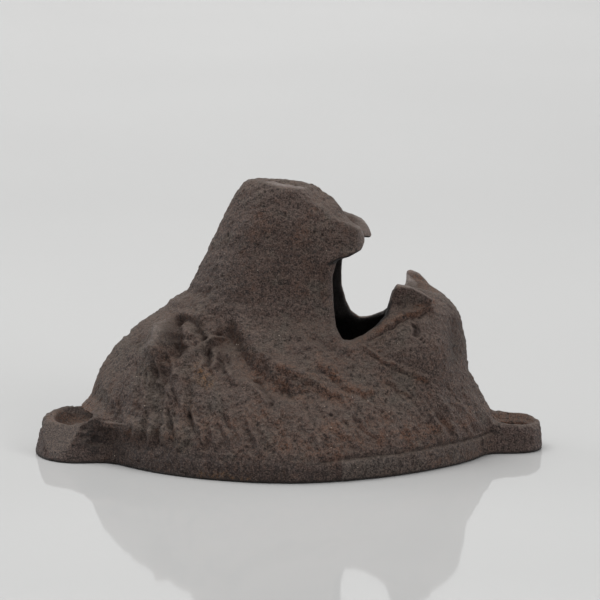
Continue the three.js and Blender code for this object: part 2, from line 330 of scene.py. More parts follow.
def head_field(X, Y, Z):
    """The whole casting, negative inside the iron."""
    skull = loft(X, Y, Z, SKULL, 1.75)
    snout = loft(X, Y, Z, SNOUT, 1.9)
    jaw = loft(X, Y, Z, JAW, 2.0)
    head = smin(smin(skull, snout, 4.0), jaw, 2.5)
    head = smin(head, slab(polygon(X, Z, NEAR_LIP), Y - 0.3 * (Z - 49.0), -4.9, 2.6, 0.7), 2.4)
    head = smin(head, slab(polygon(X, Z, FAR_LIP), Y - 0.7 * (Z - 50.0), 3.9, 2.2, 0.3), 0.9)
    head = muzzle_cuts(X, Y, Z, head)
    hollow = smin(loft(X, Y, Z, SKULL_HOLLOW, 1.75), loft(X, Y, Z, SNOUT_HOLLOW, 1.9), 3.0)
    hollow = smin(hollow, loft(X, Y, Z, JAW_HOLLOW, 2.0), 2.0)
    head = smin(head, crown_lug(X, Y, Z), 4.2)
    head = smin(head, chin_lug(X, Y, Z), 2.6)
    head = smax(head, -hollow, 0.8)
    head = smax(head, -gap_between_jaws(X, Y, Z), 1.3)
    near_tooth = slab(polygon(X, Z, NEAR_TOOTH), Y + 0.2 * (Z - 36.0), -8.9, 1.4, 0.15)
    far_tooth = slab(polygon(X, Z, FAR_TOOTH), Y - 0.5 * (Z - 38.0), 6.2, 1.5, 0.15)
    head = smin(smin(head, near_tooth, 0.3), far_tooth, 0.3)
    head = smax(head, -crown_dish(X, Y, Z, skull), 0.5)
    head = smax(head, -chin_dish(X, Y, Z), 0.5)
    return smax(head, -Z, 0.35)


# ---------------------------------------------------------------- meshing

def surface_nets(field, origin, size):
    """Quads around a zero level set: one vertex in each cell that the surface crosses."""
    nx, ny, nz = field.shape
    inside = field < 0
    mixed = np.zeros((nx - 1, ny - 1, nz - 1), bool)
    first = inside[:-1, :-1, :-1]
    corners = [(i, j, k) for i in (0, 1) for j in (0, 1) for k in (0, 1)]
    for i, j, k in corners[1:]:
        mixed |= inside[i:nx - 1 + i, j:ny - 1 + j, k:nz - 1 + k] != first
    cells = np.argwhere(mixed)
    index = np.full(mixed.shape, -1, np.int64)
    index[tuple(cells.T)] = np.arange(len(cells))
    total = np.zeros((len(cells), 3))
    count = np.zeros(len(cells))
    for a in corners:
        for axis in range(3):
            if a[axis]:
                continue
            b = list(a)
            b[axis] = 1
            va = field[tuple((cells + a).T)]
            vb = field[tuple((cells + b).T)]
            crosses = (va < 0) != (vb < 0)
            t = np.where(crosses, va / np.where(crosses, va - vb, 1), 0)
            point = np.array(a, float)[None, :].repeat(len(cells), 0)
            point[:, axis] = t
            total += point * crosses[:, None]
            count += crosses
    vertices = (cells + total / count[:, None]) * size + origin
    quads = []
    for axis in range(3):
        u, v = [(1, 2), (2, 0), (0, 1)][axis]
        lo = [slice(None)] * 3
        hi = [slice(None)] * 3
        lo[axis] = slice(0, -1)
        hi[axis] = slice(1, None)
        for flip in (False, True):
            here, beyond = inside[tuple(lo)], inside[tuple(hi)]
            at = np.argwhere(~here & beyond if flip else here & ~beyond)
            last = np.array(field.shape) - 1
            at = at[(at[:, u] > 0) & (at[:, v] > 0) & (at[:, u] < last[u]) & (at[:, v] < last[v])]
            eu = np.zeros(3, int)
            ev = np.zeros(3, int)
            eu[u] = 1
            ev[v] = 1
            ring = [index[tuple((at - o).T)] for o in (eu + ev, ev, 0 * eu, eu)]
            if flip:
                ring = ring[::-1]
            quads.append(np.stack(ring, 1))
    return vertices, np.concatenate(quads)


def meshed(field_of, low, high, voxel):
    """Vertices and quads of a field's surface inside a box."""
    axes = [np.arange(low[i] - 2.5 * voxel, high[i] + 3.5 * voxel, voxel) for i in range(3)]
    X, Y, Z = np.meshgrid(*axes, indexing="ij")
    field = field_of(X, Y, Z)
    return surface_nets(field, np.array([a[0] for a in axes]), voxel)


def normals_of(vertices, quads):
    """Unit vertex normals, weighted by face area."""
    a, b, c, d = (vertices[quads[:, i]] for i in range(4))
    face = np.cross(c - a, d - b)
    n = np.zeros_like(vertices)
    for i in range(4):
        for k in range(3):
            n[:, k] += np.bincount(quads[:, i], face[:, k], len(vertices))
    return n / np.maximum(np.linalg.norm(n, axis=1), 1e-9)[:, None]


def neighbour_mean(values, quads):
    """At each vertex, the mean of the values at the other ends of its edges."""
    total = np.zeros_like(values)
    count = np.zeros(len(values))
    for i in range(4):
        a, b = quads[:, i], quads[:, (i + 1) % 4]
        for p, q in ((a, b), (b, a)):
            count += np.bincount(p, minlength=len(values))
            if values.ndim == 1:
                total += np.bincount(p, values[q], len(values))
            else:
                for k in range(values.shape[1]):
                    total[:, k] += np.bincount(p, values[q, k], len(values))
    return total / (count if values.ndim == 1 else count[:, None])


def largest_piece(vertices, quads):
    """Keeps the connected mesh with the most vertices."""
    label = np.arange(len(vertices))
    while True:
        low = label[quads].min(1)
        new = label.copy()
        for i in range(4):
            np.minimum.at(new, quads[:, i], low)
        new = new[new]
        if (new == label).all():
            break
        label = new
    main = np.bincount(label).argmax()
    keep = label == main
    index = np.cumsum(keep) - 1
    return vertices[keep], index[quads[keep[quads[:, 0]]]]


def split_quads(vertices, quads):
    """Each quad becomes four, with new corners on its edges and at its middle."""
    edges = np.sort(np.concatenate([quads[:, [i, (i + 1) % 4]] for i in range(4)]), 1)
    unique, inverse = np.unique(edges, axis=0, return_inverse=True)
    inverse = inverse.reshape(4, -1).T + len(vertices)
    middle = np.arange(len(quads)) + len(vertices) + len(unique)
    points = np.concatenate([vertices, vertices[unique].mean(1), vertices[quads].mean(1)])
    parts = [np.stack([quads[:, i], inverse[:, i], middle, inverse[:, i - 1]], 1) for i in range(4)]
    return points, np.concatenate(parts)


def relaxed(vertices, quads, amount):
    """Evens out the mesh, except on the wall plane."""
    free = vertices[:, 2:] > 0.3
    return vertices + amount * (neighbour_mean(vertices, quads) - vertices) * free


# ---------------------------------------------------------------- relief

def stroke(x, z, points, width, height):
    """A raised or sunk line through side-view points; width and height may taper from first to last."""
    w = np.atleast_1d(width)
    h = np.atleast_1d(height)
    best = np.full(x.shape, 1e9)
    along = np.zeros(x.shape)
    n = len(points) - 1
    for i in range(n):
        (ax, az), (bx, bz) = points[i], points[i + 1]
        ex, ez = bx - ax, bz - az
        t = np.clip(((x - ax) * ex + (z - az) * ez) / (ex * ex + ez * ez + 1e-9), 0, 1)
        d = np.hypot(x - ax - ex * t, z - az - ez * t)
        nearer = d < best
        best = np.where(nearer, d, best)
        along = np.where(nearer, (i + t) / n, along)
    local_w = w[0] + (w[-1] - w[0]) * along
    local_h = h[0] + (h[-1] - h[0]) * along
    return local_h * np.exp(-(best / local_w) ** 2)


def strokes(x, z, lines):
    return sum(stroke(x, z, *line) for line in lines)


CHEEK_RIDGE = [(-2.6, 23.7), (1.8, 21.9), (6.2, 19.2), (11.9, 16.5)]
JAW_RIDGE = [(6.2, 23.7), (10.6, 21.0), (13.6, 18.8), (17.2, 17.6)]
BROW_LIGHT = [(-29.8, 25.2), (-28.6, 28.8)]
# Relief of the face in the side view, both sides: points, width, height. First the large forms, then the lines.
FORMS = [
    ([(-28.8, 25.1), (-28.2, 28.2)], 2.3, 3.7),
    ([(-27.4, 31.2), (-23.8, 33.2), (-20.0, 32.8)], 1.3, 0.8),
    ([(-24.9, 30.8), (-25.0, 28.0), (-25.4, 25.0), (-27.4, 23.8)], 1.2, (-1.3, -1.9)),
    ([(-22.9, 29.1), (-22.6, 29.3)], 1.7, 1.4),
    ([(-18.2, 25.6), (-15.6, 28.0), (-15.0, 25.0)], 2.1, -1.2),
    ([(-13.6, 30.2), (-11.8, 26.6), (-9.6, 23.2), (-6.6, 20.8), (-1.6, 18.8)], (2.5, 1.7), (-2.3, -1.2)),
    ([(-1.6, 18.8), (4.8, 17.4), (11.4, 16.4)], 1.2, (-0.8, -0.3)),
    ([(-11.4, 31.4), (-8.0, 26.6), (-4.0, 23.4), (1.0, 21.6), (6.0, 22.6)], 1.9, (0.8, 0.4)),
    ([(-20.4, 21.4), (-16.0, 16.0)], 3.0, 0.6),
    ([(-33.0, 24.0), (-32.4, 18.0), (-33.0, 13.0)], 1.5, 0.5),
    ([(-24.4, 21.6), (-24.6, 15.0)], 1.4, 0.6),
    ([(26.0, 26.4), (31.0, 25.0), (35.0, 22.0)], 3.2, 0.5),
    ([(37.0, 34.0), (37.6, 29.0), (37.0, 22.0)], 1.5, (-0.9, -1.1)),
    ([(36.0, 17.0), (41.0, 9.0)], 1.8, -0.4),
    ([(7.4, 52.0), (7.0, 45.0)], 1.4, 0.3),
    ([(5.0, 40.0), (4.0, 33.0)], 3.0, -0.25),
]
LINES = [
    ([(-25.2, 31.2), (-22.8, 31.7), (-20.6, 30.9), (-19.8, 29.2)], 0.8, -0.7),
    ([(-21.3, 29.9), (-21.0, 29.7)], 0.65, -0.8),
    ([(-24.0, 27.4), (-22.2, 26.8), (-20.3, 27.8)], 0.6, 0.5),
    ([(-24.4, 23.8), (-20.9, 25.8), (-18.2, 27.9), (-15.7, 29.6)], (1.2, 0.7), (1.1, 0.7)),
    ([(-21.4, 26.8), (-19.0, 28.8)], 0.5, -0.6),
    ([(-16.5, 30.0), (-16.2, 30.2)], 0.6, -1.1),
    ([(-17.2, 26.0), (-17.2, 22.8)], 0.7, 0.9),
    ([(-18.3, 26.2), (-18.4, 23.4)], 0.45, -0.7),
    ([(-19.6, 25.0), (-19.9, 22.0)], 0.7, 0.7),
    ([(-15.9, 24.8), (-15.0, 22.2)], 0.55, -0.7),
    ([(-14.2, 25.8), (-13.4, 23.6)], 0.6, 0.6),
    ([(-14.4, 22.8), (-12.8, 20.2)], 0.65, 0.6),
    ([(-9.6, 21.0), (-7.2, 18.2), (-5.8, 16.6)], 0.9, 0.6),
    ([(-8.0, 21.0), (-5.8, 18.4), (-4.6, 16.0)], 0.5, -0.6),
    ([(-30.3, 21.6), (-30.2, 20.0), (-30.5, 17.8)], 0.8, -0.6),
    ([(-29.4, 22.4), (-29.5, 19.0)], 0.4, 0.7),
    ([(-28.6, 21.0), (-28.7, 19.2), (-29.3, 17.0)], 0.9, -0.65),
    ([(-31.6, 25.2), (-29.0, 24.0), (-26.4, 24.2), (-25.6, 21.0)], 0.7, (0.4, 0.7)),
    ([(-34.2, 22.0), (-33.6, 17.6), (-34.2, 13.4)], 0.7, -0.4),
    ([(-32.4, 20.6), (-31.8, 15.4)], 0.55, -0.5),
    ([(-31.0, 16.8), (-30.4, 13.0)], 0.6, -0.6),
    ([(-26.4, 18.8), (-25.6, 14.4)], 0.6, -0.45),
    ([(-27.6, 16.4), (-28.0, 12.8)], 0.5, -0.5),
    ([(-22.8, 13.4), (-22.0, 10.4), (-21.6, 8.6)], 0.6, (-0.9, -0.5)),
    ([(-22.0, 14.0), (-20.4, 11.4), (-20.0, 8.0)], 0.6, 0.8),
    ([(-27.8, 13.6), (-27.2, 10.4)], 0.55, -0.6),
    ([(-26.9, 13.0), (-26.0, 10.4)], 0.6, 0.5),
    ([(-30.6, 10.0), (-30.6, 7.8)], 0.5, -0.5),
    (CHEEK_RIDGE, 0.8, (0.6, 0.3)),
    ([(-3.2, 22.6), (1.1, 20.8), (5.5, 18.2)], 0.5, -0.35),
    (JAW_RIDGE, 0.8, (0.5, 0.4)),
    ([(5.6, 22.8), (9.8, 20.0), (12.8, 17.8), (16.4, 16.6)], 0.5, -0.3),
    ([(5.9, 28.3), (8.9, 25.6), (12.4, 24.4)], 0.8, -0.3),
    ([(16.6, 25.7), (20.1, 23.2), (24.1, 21.6), (29.8, 18.8)], 0.4, -0.2),
    ([(16.6, 26.5), (20.3, 24.0), (24.4, 22.4), (30.0, 19.6)], 0.5, (0.4, 0.3)),
    ([(21.4, 18.6), (25.4, 15.8)], 0.45, -0.3),
    ([(21.6, 19.4), (25.8, 16.6)], 0.5, 0.2),
    ([(13.0, 26.9), (16.6, 28.7), (21.0, 31.0), (25.4, 33.0), (29.6, 34.3), (31.4, 34.8)],
     (0.5, 0.7), (0.45, 0.7)),
    ([(17.2, 27.7), (21.4, 30.0), (26.0, 32.0), (30.4, 33.2)], 0.35, (-0.35, -0.6)),
    ([(27.6, 31.0), (27.9, 29.4)], 0.65, -1.1),
    ([(29.3, 28.2), (29.7, 27.4)], 0.45, -0.45),
    ([(26.9, 30.4), (27.1, 28.8)], 0.5, 0.4),
    ([(3.2, 60.2), (4.4, 58.6), (6.3, 56.6), (9.4, 54.4), (13.1, 53.2)], 0.45, 0.3),
    ([(8.8, 43.6), (8.7, 37.0), (9.2, 31.0), (10.6, 27.0), (13.6, 26.2)], 0.6, 0.4),
    ([(7.4, 43.0), (7.3, 37.0), (7.8, 31.0), (9.2, 26.2)], 0.6, -0.25),
]


# Rows of fur locks above the base band: height, spacing, lift, length.
TUFT_ROWS = ((8.4, 3.4, 0.6, 2.6), (11.4, 3.2, 0.35, 2.4), (14.2, 3.6, 0.3, 2.8))
TUFTS_FROM, TUFTS_TO = -35.0, 41.0
TUFT_SEED = 7


def rows_of_tufts(x, z):
    """Locks of fur: a raised lock with a cut at its side, leaning further back towards the chin."""
    rng = np.random.default_rng(TUFT_SEED)
    total = np.zeros_like(x)
    for height, spacing, lift, reach in TUFT_ROWS:
        start = TUFTS_FROM
        while start < TUFTS_TO:
            x0 = start + rng.uniform(-0.7, 0.7)
            lean = np.interp(x0, (-34, -14, 6, 40), (-0.15, 0.12, 0.45, 0.7))
            lean *= 0.7 if height < 10 else 1.0
            z0 = height + rng.uniform(-0.9, 0.9)
            dx, dz = lean * reach * 0.5, reach * 0.5
            size = rng.uniform(0.5, 1.2) * np.interp(x0, (-5, 12), (1.0, 0.75))
            total += stroke(x, z, [(x0 - dx, z0 + dz), (x0 + dx, z0 - dz)], (0.5, 0.8), lift * size)
            x1 = x0 + spacing * 0.5
            cut = [(x1 - dx, z0 + dz), (x1 + dx * 0.8, z0 - dz * 0.8)]
            total += stroke(x, z, cut, (0.5, 0.7), -0.5 * lift * size)
            start += spacing
    return total


# Combing of the fur at the back, in the middle and in front: degrees, size across and along a strand, seed.
STRANDS = ((93, 1.5, 6.5, 21), (60, 1.7, 5.0, 22), (56, 1.4, 6.0, 23))
FINE_STRANDS = ((95, 0.85, 4.5, 31), (58, 0.9, 3.0, 32), (54, 0.8, 3.4, 33))


def combed(p, degrees, across, along, seed):
    """Noise drawn out along one direction of the side view."""
    c, s = math.cos(math.radians(degrees)), math.sin(math.radians(degrees))
    u = p[:, 0] * s + p[:, 2] * c
    v = p[:, 0] * c - p[:, 2] * s
    return noise(np.stack([u, p[:, 1] * 0.6, v], 1), (across, 4.0, along), seed)


def fur_strands(p, rows, smooth):
    """Sharp-crested strands, blended from the back of the head to the chin."""
    x = p[:, 0]
    back = step(-x, 8, 24)
    front = step(x, 2, 16)
    middle = 1 - np.maximum(back, front)
    wave = sum(weight * combed(p, *row) for weight, row in zip((back, middle, front), rows))
    return smooth * wave + 0.8 * (0.35 - np.abs(wave))


def in_dish(x, y):
    """1 in the two countersunk dishes, seen from above."""
    crown = np.hypot(x - CROWN_X, y) / 7.8
    chin = np.hypot(x - CHIN_X, y) / 5.9
    return 1 - step(np.minimum(crown, chin), 0.9, 1.08)


def mouth_edge(x, y, z):
    """1 close to the cut edges of the jaws and on the teeth, 0 elsewhere."""
    gap = gap_between_jaws(x, y, z)
    teeth = np.minimum(polygon(x, z, NEAR_TOOTH), polygon(x, z, FAR_TOOTH))
    lips = np.minimum(polygon(x, z, NEAR_LIP), polygon(x, z, FAR_LIP)) + 13 * (1 - step(x, 11, 13))
    teeth = teeth + 13 * (1 - step(z, 34.8, 36.4))
    return 1 - step(np.minimum(np.minimum(np.abs(gap), teeth), lips), 0.5, 1.8)


def outer_side(p, n):
    """1 where the surface faces away from the middle of the head, 0 in the hollow."""
    x, y, z = p.T
    outward = n[:, 0] * (x - 2) * 0.9 + n[:, 1] * y + n[:, 2] * (z - 6) * 0.6
    return step(outward / (np.hypot(x, y) + 6), 0.05, 0.35)


def face_relief(p):
    """Brow, eye, cheek and lip, with wobbling lines, softer on the far side."""
    x, y, z = p.T
    wx = x + 0.35 * noise(p, 3.1, 11) + 0.28 * noise(p, 1.2, 12)
    wz = z + 0.35 * noise(p, 3.1, 13) + 0.28 * noise(p, 1.2, 14)
    side = step(np.abs(y), 2.0, 7.0)
    side = side * (0.4 + 0.6 * step(np.abs(y), 5.5, 8.0)) * (1 - 0.45 * step(y, 2.0, 5.0))
    return strokes(wx, wz, FORMS + LINES) * side


def lock_relief(p):
    x, y, z = p.T
    far_shift = np.where(y > 0, 0.4, 0)
    locks = rows_of_tufts(x + 0.5 * noise(p, 4.0, 3), z + 0.4 * noise(p, 3.0, 4) + far_shift)
    return locks * step(np.abs(y), 4, 9)


def lug_ledge(p):
    """The undercut above the crown lug's near rim."""
    x, y, z = p.T
    above_rim = z - 9.1 - 0.075 * (x + 46)
    ledge = step(above_rim, 0.0, 0.4) * (1 - step(above_rim, 1.0, 5.5))
    ledge *= step(-x, 36.5, 39.0) * (1 - step(-x, 40.5, 42.8)) * step(-y, 7.0, 9.5)
    return 1.05 * ledge * (1 - 0.3 * noise(p, 1.5, 97))


def relief(p, n):
    """Displacement along the normal in millimetres, and the masks, 0..1 at each vertex."""
    x, y, z = p.T
    outer = outer_side(p, n)
    lug = np.maximum(step(-x, 42.5, 45.5), step(x, 44.0, 47.5))
    body = outer * (1 - lug)
    above_band = step(z, 4.9, 6.2)
    muzzle = step((x + 14.2) * 0.62 + (z - 30.2) * 0.78, -1.0, 1.5) * step(z, 17.0, 20.5)
    chin = step(x, 12.0, 17.0) * step(z, 22.5, 25.0)
    fur = (1 - muzzle) * (1 - chin) * above_band * body
    calm = 1 - 0.8 * step(-np.hypot(x + 26, (z - 28) * 1.2), -9.0, -5.5)

    # The body: face, fur and the sand's grain.
    d = face_relief(p) * body * above_band
    d += lock_relief(p) * fur
    d += (0.42 * fur_strands(p, STRANDS, 0.6) + 0.26 * fur_strands(p, FINE_STRANDS, 0.5)) * fur * calm
    d += 0.24 * fractal(p, 3.4, 41) * body * calm
    grain = 0.15 * fractal(p, 1.7, 51) + 0.12 * noise(p, 0.8, 53) + 0.07 * noise(p, 0.45, 54)
    d += grain * np.where(muzzle * body > 0.5, 1.05, 1.0) * (0.35 + 0.65 * outer)

    # The base band: a crease above it, as cast at the back, ground smooth in front.
    crease_at = 5.0 + 0.35 * noise(p, 5.0, 61)
    crease = np.exp(-((z - crease_at) / 0.45) ** 2) * (0.2 + 0.8 * step(x, 2, 12))
    d -= 0.5 * crease * outer * (1 - step(-x, 37, 41)) * (1 - step(x, 45.0, 47.0))
    band = (1 - above_band) * outer * step(-np.abs(n[:, 2]), -0.6, -0.3) * (1 - lug)
    angle = np.arctan2(y, x)
    streak = noise(np.stack([angle * 38, 0 * z, z], 1), (0.75, 1.0, 9.0), 71)
    ground = step(x, 9.8, 10.4)
    d += band * (0.07 * streak - 0.22 * (1 - ground) * (0.6 + 0.6 * noise(p, 2.2, 73)))
    pits = step(noise(p, 0.9, 81), 0.68, 0.9) * outer
    d -= 0.18 * pits
    d *= 1 - 0.75 * mouth_edge(x, y, z)

    # The lugs.
    basin = in_dish(x, y)
    rough_lug = lug * (1 - basin)
    d += rough_lug * (0.16 * fractal(p, 2.0, 91) + 0.08 * noise(p, 0.9, 93))
    lug_crease = stroke(x, z, [(-46.0, 8.7), (-41.5, 9.0), (-37.8, 9.3)], 0.4, (0.0, -0.25))
    d += lug_crease * step(-y, 5.0, 8.0)
    d -= lug_ledge(p)
    d += stroke(x, z, [(43.6, 6.6), (43.9, 0.6)], 0.35, 0.35) * step(-y, 3.0, 6.0)
    near_patch = np.exp(-(((x + 44.6) / 2.8) ** 2 + ((z - 5.6) / 3.2) ** 2)) * step(-y, 6.0, 8.0)
    d -= near_patch * (0.35 + 0.5 * noise(p, 1.1, 95))
    ground_flat = step(crown_facet(x, y, z), -0.28, -0.12) * step(z, 0.4, 1.0) * lug
    d *= 1 - 0.85 * ground_flat

    # The inside of the hollow casting, later painted near black as painted shade.
    inside = (1 - outer) * (1 - lug) * (1 - step(x, 20, 22) * step(z, 34.5, 36.5)) * (1 - step(z, 57, 59))
    return d, {
        "dish": lug * basin,
        "band": np.maximum(band, ground_flat),
        "flat": ground_flat,
        "patch": near_patch * (1 - ground_flat),
        "ground": band * ground * (1 - 0.6 * step(x, 16, 28)),
        "wall": rough_lug,
        "cast": band * (1 - ground),
        "inside": inside,
        **stains(p, lug, outer),
    }


# Stains in the side view: points, width, strength. Where rust shows through.
RUST = [
    ([(-13.8, 30.4), (-11.4, 26.0), (-9.0, 22.6)], 2.0, 0.9),
    ([(-9.0, 22.6), (-6.1, 20.6), (0.0, 18.4), (9.0, 17.0)], 1.6, (1.1, 1.0)),
    ([(13.6, 27.0), (20.0, 30.4), (25.6, 33.0), (31.4, 34.8)], 0.75, 1.6),
    ([(-19.2, 23.6), (-18.4, 21.6)], 1.2, 0.7),
    ([(-24.6, 31.2), (-22.6, 32.0), (-20.0, 30.6)], 0.8, 0.8),
    ([(-24.6, 29.4), (-24.2, 27.2)], 0.7, 0.6),
    ([(-27.4, 23.6), (-25.0, 23.4)], 0.8, 0.7),
    (CHEEK_RIDGE, 1.1, (1.7, 1.3)),
    (JAW_RIDGE, 1.1, (1.3, 1.6)),
    ([(6.9, 11.6), (14.3, 11.1), (21.2, 12.4)], 1.2, 1.1),
    ([(6.0, 25.6), (12.0, 23.4)], 0.8, 0.7),
    ([(16.6, 26.3), (20.3, 23.8), (24.4, 22.2), (30.0, 19.4)], 0.6, 1.0),
    ([(20.6, 18.8), (25.6, 16.2)], 0.6, 0.6),
    ([(-30.4, 30.4), (-26.0, 32.2)], 0.8, 0.5),
    ([(23.6, 39.4), (25.0, 39.0)], 0.5, 1.0),
    ([(-3.4, 10.4), (-1.6, 9.0)], 1.4, 0.9),
    ([(11.2, 7.6), (18.5, 8.6), (26.0, 9.2), (32.0, 8.8)], (1.5, 1.1), (1.5, 1.0)),
    ([(-4.0, 7.6), (4.0, 6.8), (9.0, 5.8)], 1.2, 1.7),
    ([(-12.0, 12.0), (-2.0, 13.0), (8.0, 12.0)], 2.2, 0.45),
    ([(7.0, 59.0), (4.0, 54.0), (2.0, 50.0)], 1.4, 0.6),
    ([(-20.0, 13.0), (-19.6, 7.0)], 1.0, 0.3),
]
# Painted shade: dark colour laid into the deepest places, where shade falls.
PAINTED_SHADE_STROKES = [
    ([(-26.4, 30.0), (-25.6, 28.0), (-24.9, 25.6)], (1.0, 1.5), (0.5, 1.0)),
    ([(-25.0, 31.4), (-22.8, 31.9), (-20.2, 30.8), (-19.6, 29.2)], 0.7, 0.7),
    ([(-21.2, 29.9), (-21.0, 29.7)], 0.7, 0.7),
    ([(-16.6, 30.2), (-16.2, 30.0)], 0.7, 0.9),
    ([(-18.0, 27.0), (-15.6, 28.0), (-14.6, 24.4)], 1.5, 0.6),
    ([(-13.4, 30.4), (-12.2, 28.0), (-10.6, 25.0)], 1.4, (0.8, 0.4)),
    ([(-7.6, 21.2), (-4.6, 16.2)], 0.8, 0.5),
    ([(-30.4, 21.6), (-30.4, 18.2)], 1.0, 0.4),
    ([(-28.7, 21.2), (-28.9, 17.4)], 1.0, 0.4),
    ([(-33.6, 16.6), (-32.0, 12.0)], 2.0, 0.3),
    ([(27.7, 31.0), (27.9, 29.4)], 0.7, 0.8),
    ([(37.4, 33.0), (37.4, 23.0)], 1.2, 0.5),
    ([(13.0, 51.6), (15.4, 50.0)], 1.6, 0.35),
    ([(24.4, 38.2), (27.0, 37.6)], 1.0, 0.35),
    ([(-24.0, 36.4), (-10.0, 37.0)], 1.6, 0.25),
]
# Yellow-brown rust.
OCHRE = [
    ([(-20.6, 0.9), (-16.0, 0.7), (-11.0, 0.5)], 0.8, 1.8),
    ([(-20.4, 22.0), (-18.8, 19.6)], 1.6, 0.8),
]
# Paler grey-green on raised places, partly the iron's own colour and partly painted highlight on the brow ball and
# along the skull's left outline.
PALE_AND_HIGHLIGHT = [
    (BROW_LIGHT, 1.8, 0.8),
    ([(-36.0, 27.4), (-39.5, 21.0), (-42.0, 14.0)], 1.8, 0.6),
    ([(-31.6, 20.0), (-31.0, 16.0), (-29.6, 12.6)], 1.5, 0.7),
    ([(-24.0, 23.6), (-22.4, 19.0), (-22.8, 15.0)], 1.1, 0.6),
    ([(-21.4, 25.6), (-17.4, 28.4)], 0.7, 0.7),
    ([(-34.0, 10.0), (-24.0, 8.0)], 1.8, 0.5),
    ([(14.0, 20.0), (24.0, 15.0)], 3.0, 0.45),
    ([(19.0, 29.0), (24.0, 27.0)], 2.4, 0.4),
]


def stains(p, lug, outer):
    """Rust, painted shade, ochre, pale grey-green partly painted as highlight, and bare worn metal with painted
    highlights, 0..1 at each vertex.
    """
    x, y, z = p.T
    wx = x + 0.8 * noise(p, 2.2, 101)
    wz = z + 0.8 * noise(p, 2.2, 102)
    rust = strokes(wx, wz, RUST) * outer * (0.55 + 0.6 * noise(p, 1.6, 103)) * (1 - lug)
    dish = lug * in_dish(x, y) * step(z, 2.5, 3.5)
    far_jaw = step(x, 26.5, 28.0) * step(z, 35.0, 36.5) * step(y, -3.0, 1.0)
    facet = (1 - step(polygon(x, z, TOOTH_FACET), -0.15, 0.15)) * step(y, 0.0, 2.0)
    rust = rust + dish + far_jaw * 0.9 * (1 - facet)

    # Painted shade in the hollows, and a pool of painted shade between the teeth.
    painted_shade = strokes(wx, wz, PAINTED_SHADE_STROKES) * outer * step(np.abs(y), 2.0, 5.0)
    between = step(y, -7.4, -6.0) * (1 - step(y, 3.0, 5.0))
    painted_shade += np.exp(-(((x - 29.0) / 2.2) ** 2 + ((z - 37.0) / 1.6) ** 2)) * between

    # Painted highlights along the near tooth's top edge, the lip's corner, the nose pad's near rim and the brow
    # ball; the far tooth's facet is bare metal.
    tooth_edge = step(z, 38.6, 39.3) * step(x, 22, 23) * (1 - step(x, 31, 33))
    lip_edge = step(x, 14.5, 16.5) * step(z, 45.5, 47.5) * 0.4
    pad_rim = np.exp(-((z - 61.4 + 0.11 * x) / 0.5) ** 2) * step(-y, 1.0, 3.0)
    pad_rim *= step(x, -6, -2) * (1 - step(x, 4, 7))
    brow_highlight = stroke(wx, wz, BROW_LIGHT, 1.7, 0.24) * outer * (np.abs(y) > 2)
    wear_and_highlight = 0.85 * facet * step(y, 2, 5) + 0.25 * tooth_edge + lip_edge + 0.8 * pad_rim + brow_highlight

    masks = {
        "rust": rust,
        "wear_and_highlight": wear_and_highlight,
        "painted_shade": painted_shade,
        "ochre": strokes(wx, wz, OCHRE) * outer * step(np.abs(y), 5.0, 9.0),
        # Pale grey-green, partly painted highlight on the brow ball and the left outline.
        "pale": strokes(wx, wz, PALE_AND_HIGHLIGHT) * outer,
    }
    return {name: np.clip(mask, 0, 1) for name, mask in masks.items()}


CAVITY_SCALE = 14.0
HOLLOW_SCALE = 48.0


def make_head():
    """Vertices, quads and vertex attributes of the casting."""
    v, q = largest_piece(*meshed(head_field, HEAD_LOW, HEAD_HIGH, HEAD_VOXEL))
    v = relaxed(v, q, 0.35)
    v, q = split_quads(v, q)
    v = relaxed(v, q, 0.5)
    n = normals_of(v, q)
    d, masks = relief(v, n)
    d *= step(v[:, 2], 0.05, 0.7)
    v = v + n * d[:, None]
    v = np.clip(v, HEAD_LOW, HEAD_HIGH)
    n = normals_of(v, q)
    bend = ((neighbour_mean(v, q) - v) * n).sum(1)
    for _ in range(4):
        bend = 0.5 * bend + 0.5 * neighbour_mean(bend, q)
    wide = bend.copy()
    for _ in range(30):
        wide = neighbour_mean(wide, q)
    shallow = 1 - 0.8 * masks.pop("dish")
    return v, q, {"cavity": bend * CAVITY_SCALE * shallow, "hollow": wide * HOLLOW_SCALE, **masks}


THREAD_PITCH = 1.7
# How far the sculpted screw stays inside its CAD box.
SCREW_MARGIN = 0.03


def screw_field(x0, radius, shank, seat, tip):
    """A slotted countersunk wood screw at x0: head and shank radius, z of the head's face and of the tip."""
    def field(X, Y, Z):
        dx = X - x0
        r = np.sqrt(dx * dx + Y * Y)
        angle = np.arctan2(Y, dx)
        cone = smax(r - radius + np.maximum(seat - 0.45 - Z, 0), Z - seat, 0.25)
        cone = smax(cone, seat - radius - 0.6 - Z, 0.1)
        taper = np.minimum((Z - tip) * 0.42, shank)
        turn = (Z / THREAD_PITCH - angle / (2 * math.pi)) % 1.0
        ridge = np.maximum(1 - np.abs(turn - 0.5) * 3.4, 0)
        threaded = step(-Z, -(seat - 0.36 * (seat - tip)), -(seat - 0.4 * (seat - tip)))
        core = np.minimum(taper, shank - 0.5 * threaded) + 0.48 * ridge * threaded * step(Z, tip + 1, tip + 4)
        rod = smax((r - core) * 0.85, Z - seat + 0.5, 0.1)
        body = smin(cone, smax(rod, tip - Z, 0.1), 0.3)
        slot = np.maximum(np.abs(Y) - 0.45, seat - 1.0 - Z)
        return smax(body, -slot, 0.08)
    return field


def make_screw(low, high, shank):
    x0 = float(low[0] + high[0]) / 2
    radius = float(high[0] - low[0]) / 2 - SCREW_MARGIN
    seat = float(high[2]) - SCREW_MARGIN
    tip = float(low[2]) + 0.05
    return meshed(screw_field(x0, radius, shank, seat, tip), low, high, SCREW_VOXEL)


